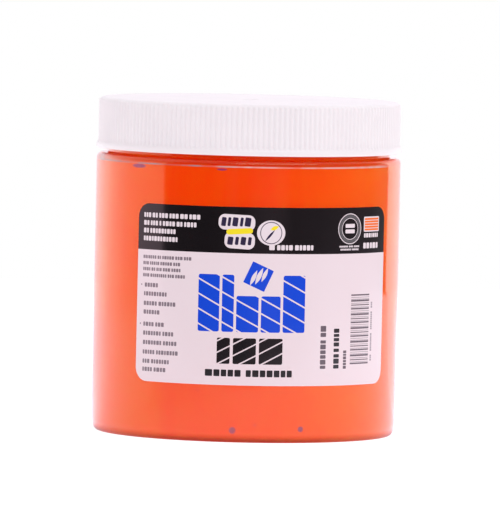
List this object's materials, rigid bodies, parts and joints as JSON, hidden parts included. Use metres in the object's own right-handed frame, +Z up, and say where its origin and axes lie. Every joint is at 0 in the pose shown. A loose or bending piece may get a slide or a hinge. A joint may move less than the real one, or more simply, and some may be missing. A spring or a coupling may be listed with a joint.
{
  "type": "wide-mouth ink jar",
  "caption": "Clear straight-sided plastic jar of orange block-printing ink with a wrap label and a ribbed white screw cap that unscrews from a wide threaded neck.",
  "frame": {"origin": "centre of the standing ring, on the plane the jar stands on", "axes": "+Z up along the jar's axis; the label is centred on -Y; +X is to the label reader's right"},
  "size_m": [0.0726, 0.0726, 0.0792],
  "materials": {
    "clear_plastic": "clear gloss, moulded",
    "ink": "wet gloss, thick paste",
    "label_film": "satin printed film",
    "liner_foam": "matt foam",
    "cap_plastic": "satin, moulded"
  },
  "bodies": {
    "jar": {"jar": "clear_plastic", "ink": "ink", "label": "label_film"},
    "liner": {"cap_liner": "liner_foam"},
    "cap": {"cap": "cap_plastic"}
  },
  "joints": [
    {"name": "cap_rise", "type": "slide", "parent": "jar", "child": "liner", "axis": [0, 0, 1], "range_m": [0, 0.01693]},
    {"name": "cap_turn", "type": "hinge", "parent": "liner", "child": "cap", "pos_m": [0, 0, 0.0778], "axis": [0, 0, 1], "range_deg": [0, 1440]}
  ],
  "couplings": [
    {"joint": "cap_rise", "follows": "cap_turn", "m_per_rad": 0.0006737}
  ]
}
